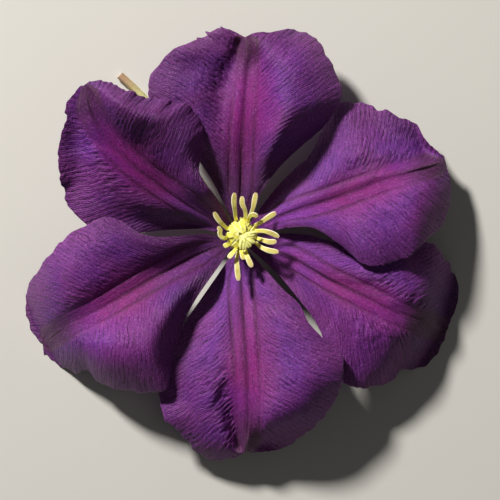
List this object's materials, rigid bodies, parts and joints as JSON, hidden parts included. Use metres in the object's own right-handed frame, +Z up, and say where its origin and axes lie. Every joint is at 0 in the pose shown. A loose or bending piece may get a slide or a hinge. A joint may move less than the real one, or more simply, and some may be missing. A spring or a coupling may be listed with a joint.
{
  "type": "clematis flower",
  "caption": "Open clematis flower, picked with a short stalk and lying face up: broad violet tepals with a ribbed magenta bar, lapped round a small yellow boss of stamens.",
  "frame": {"origin": "middle of the flower's box, at the level of the surface it lies on", "axes": "+Z up, the way the flower faces; +Y towards the tip of tepal_1, the top tepal as the flower was seen on its plant; +X to its right"},
  "size_m": [0.0874, 0.0866, 0.0238],
  "materials": {
    "tepal": "satin",
    "stamen": "matte",
    "style": "matte",
    "stalk": "satin"
  },
  "bodies": {
    "root": {"tepal_1": "tepal", "tepal_2": "tepal", "tepal_3": "tepal", "tepal_4": "tepal", "tepal_5": "tepal", "tepal_6": "tepal", "stamens": "stamen", "pistil": "style", "receptacle_and_stalk": "stalk"}
  },
  "joints": []
}
